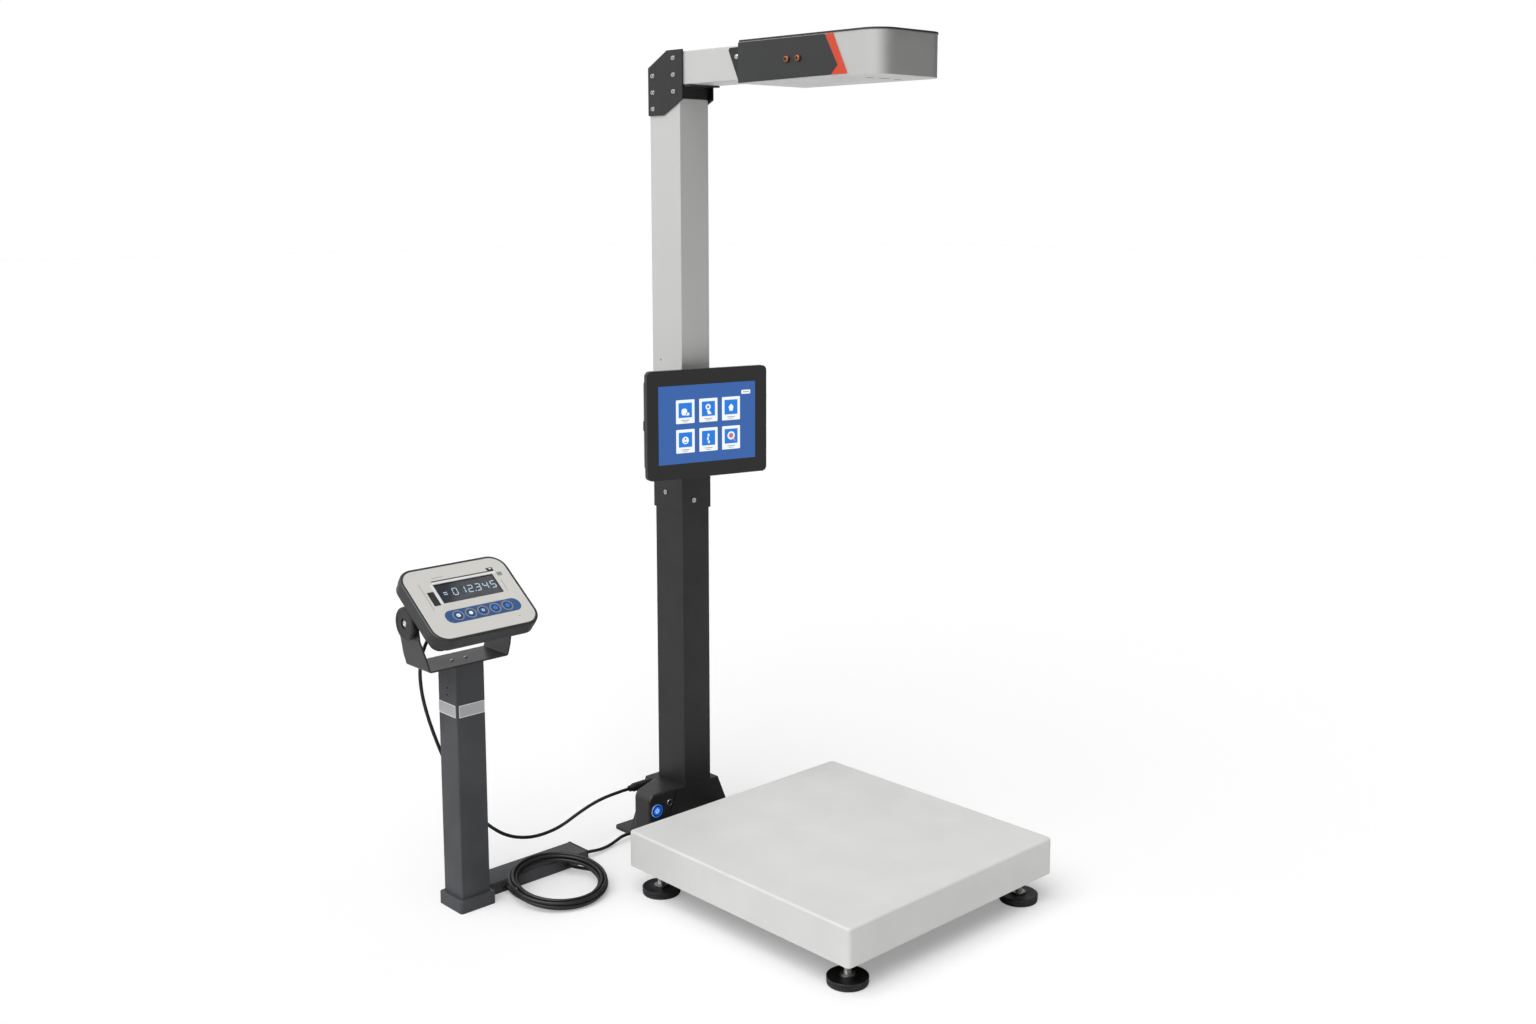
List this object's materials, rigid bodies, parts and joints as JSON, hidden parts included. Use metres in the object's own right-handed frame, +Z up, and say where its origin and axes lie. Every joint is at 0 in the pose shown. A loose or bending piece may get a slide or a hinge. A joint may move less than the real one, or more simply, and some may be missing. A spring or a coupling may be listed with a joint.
{
  "type": "dimensioning scale",
  "caption": "Floor scale with a measuring head on a telescopic mast above the weighing pan, an operator tablet on the mast and a weight indicator on its own post.",
  "frame": {"origin": "on the floor, in the middle of the ground that the whole scale covers", "axes": "+Z up, +X to the operator's right, -Y towards the operator"},
  "size_m": [0.8275, 0.76, 1.438],
  "materials": {
    "pan_paint": "fine-grained pale grey powder coat",
    "frame_paint": "dark grey powder coat",
    "cell_aluminium": "milled",
    "spider_casting": "as cast",
    "buffer_rubber": "matt black",
    "zinc_steel": "zinc plated",
    "foot_rubber": "matt black",
    "gland_plastic": "black nylon",
    "mast_black": "satin black",
    "mast_silver": "satin anodised",
    "bracket_black": "gloss black",
    "head_silver": "satin",
    "head_black": "satin black",
    "tray_paint": "pale paint",
    "accent_paint": "orange",
    "sensor_gloss": "gloss black",
    "box_black": "satin black",
    "ring_steel": "polished",
    "cap_blue": "lit blue",
    "tablet_black": "satin black",
    "tablet_glass": "gloss black surround",
    "yoke_steel": "blackened",
    "post_anthracite": "fine-textured anthracite",
    "plug_black": "black",
    "case_grey": "dark grey, fine grain",
    "display_glass": "dark blue",
    "key_blue": "blue",
    "knob_black": "satin black",
    "lead_rubber": "satin black"
  },
  "bodies": {
    "root": {"base_frame": "frame_paint", "load_cell": "cell_aluminium", "load_spider": "spider_casting", "pan_buffers": "buffer_rubber", "cell_bolts": "zinc_steel", "lock_nuts": "zinc_steel", "cell_gland": "gland_plastic", "tie_bars": "frame_paint", "mast_foot": "mast_black", "lower_mast_tube": "mast_black", "control_box": "box_black", "power_bezel": "ring_steel", "service_socket": "ring_steel", "post_tube": "post_anthracite", "post_shoe": "post_anthracite", "foot_bar": "post_anthracite", "bar_end_plug": "plug_black", "u_bracket": "bracket_black", "indicator_lead": "lead_rubber", "mast_lead": "lead_rubber", "lead_plug": "gland_plastic", "foot_gland": "gland_plastic", "spare_coil": "lead_rubber", "coil_tails": "lead_rubber"},
    "pan": {"pan_cover": "pan_paint"},
    "upper_mast": {"mast_collar": "mast_black", "collar_screws": "zinc_steel", "upper_mast_tube": "mast_silver", "arm_tube": "mast_silver", "corner_plates": "bracket_black", "corner_screws": "zinc_steel", "under_arm_angle": "bracket_black", "head_mount_plates": "bracket_black", "head_band": "head_silver", "head_lid": "head_black", "head_tray": "tray_paint", "sensor_module": "sensor_gloss", "head_side_plates": "head_black", "head_accents": "accent_paint", "tablet_bracket": "mast_black"},
    "tablet_hinge": {"tablet_yoke": "yoke_steel"},
    "tablet": {"tablet_shell": "tablet_black", "tablet_glass": "tablet_glass"},
    "tablet_key": {"tablet_button": "tablet_black"},
    "power_key": {"power_cap": "cap_blue"},
    "indicator": {"indicator_case": "case_grey", "indicator_face": "case_grey", "indicator_display": "display_glass", "indicator_gland": "gland_plastic"},
    "clamp_knob_left": {"knob_left": "knob_black"},
    "clamp_knob_right": {"knob_right": "knob_black"},
    "foot_front_left_body": {"foot_front_left": "foot_rubber"},
    "foot_front_right_body": {"foot_front_right": "foot_rubber"},
    "foot_back_left_body": {"foot_back_left": "foot_rubber"},
    "foot_back_right_body": {"foot_back_right": "foot_rubber"},
    "key_1_body": {"key_1": "key_blue"},
    "key_2_body": {"key_2": "key_blue"},
    "key_3_body": {"key_3": "key_blue"},
    "key_4_body": {"key_4": "key_blue"},
    "key_5_body": {"key_5": "key_blue"}
  },
  "joints": [
    {"name": "pan_lift", "type": "slide", "parent": "root", "child": "pan", "axis": [0, 0, 1], "range_m": [0, 0.08]},
    {"name": "mast_slide", "type": "slide", "parent": "root", "child": "upper_mast", "axis": [0, 0, 1], "range_m": [-0.1, 0.15]},
    {"name": "tablet_swivel", "type": "hinge", "parent": "upper_mast", "child": "tablet_hinge", "pos_m": [0.17, 0.235, 0.789], "axis": [0, 0, 1], "range_deg": [-9, 35]},
    {"name": "tablet_tilt", "type": "hinge", "parent": "tablet_hinge", "child": "tablet", "pos_m": [0.16802, 0.22656, 0.789], "axis": [0.9736, -0.2284, 0], "range_deg": [-8, 8]},
    {"name": "tablet_button_press", "type": "slide", "parent": "tablet", "child": "tablet_key", "axis": [0.9736, -0.2284, 0], "range_m": [0, 0.001], "stiffness_N_per_m": 300, "springref_m": -0.002},
    {"name": "power_press", "type": "slide", "parent": "root", "child": "power_key", "axis": [0, 1, 0], "range_m": [0, 0.002], "stiffness_N_per_m": 400, "springref_m": -0.002},
    {"name": "indicator_tilt", "type": "hinge", "parent": "root", "child": "indicator", "pos_m": [-0.3055, 0.3037, 0.5048], "axis": [1, 0, 0], "range_deg": [-26, 26], "deforming": ["indicator_lead"]},
    {"name": "knob_left_turn", "type": "hinge", "parent": "indicator", "child": "clamp_knob_left", "pos_m": [-0.4, 0.3037, 0.5048], "axis": [1, 0, 0], "continuous": true},
    {"name": "knob_right_turn", "type": "hinge", "parent": "indicator", "child": "clamp_knob_right", "pos_m": [-0.211, 0.3037, 0.5048], "axis": [1, 0, 0], "continuous": true},
    {"name": "foot_front_left_turn", "type": "hinge", "parent": "root", "child": "foot_front_left_body", "pos_m": [-0.041, -0.341, 0], "axis": [0, 0, 1], "continuous": true},
    {"name": "foot_front_right_turn", "type": "hinge", "parent": "root", "child": "foot_front_right_body", "pos_m": [0.381, -0.341, 0], "axis": [0, 0, 1], "continuous": true},
    {"name": "foot_back_left_turn", "type": "hinge", "parent": "root", "child": "foot_back_left_body", "pos_m": [-0.041, 0.101, 0], "axis": [0, 0, 1], "continuous": true},
    {"name": "foot_back_right_turn", "type": "hinge", "parent": "root", "child": "foot_back_right_body", "pos_m": [0.381, 0.101, 0], "axis": [0, 0, 1], "continuous": true},
    {"name": "key_1_press", "type": "slide", "parent": "indicator", "child": "key_1_body", "axis": [0, 0.5878, -0.809], "range_m": [0, 0.0006], "stiffness_N_per_m": 300, "springref_m": -0.002},
    {"name": "key_2_press", "type": "slide", "parent": "indicator", "child": "key_2_body", "axis": [0, 0.5878, -0.809], "range_m": [0, 0.0006], "stiffness_N_per_m": 300, "springref_m": -0.002},
    {"name": "key_3_press", "type": "slide", "parent": "indicator", "child": "key_3_body", "axis": [0, 0.5878, -0.809], "range_m": [0, 0.0006], "stiffness_N_per_m": 300, "springref_m": -0.002},
    {"name": "key_4_press", "type": "slide", "parent": "indicator", "child": "key_4_body", "axis": [0, 0.5878, -0.809], "range_m": [0, 0.0006], "stiffness_N_per_m": 300, "springref_m": -0.002},
    {"name": "key_5_press", "type": "slide", "parent": "indicator", "child": "key_5_body", "axis": [0, 0.5878, -0.809], "range_m": [0, 0.0006], "stiffness_N_per_m": 300, "springref_m": -0.002}
  ]
}
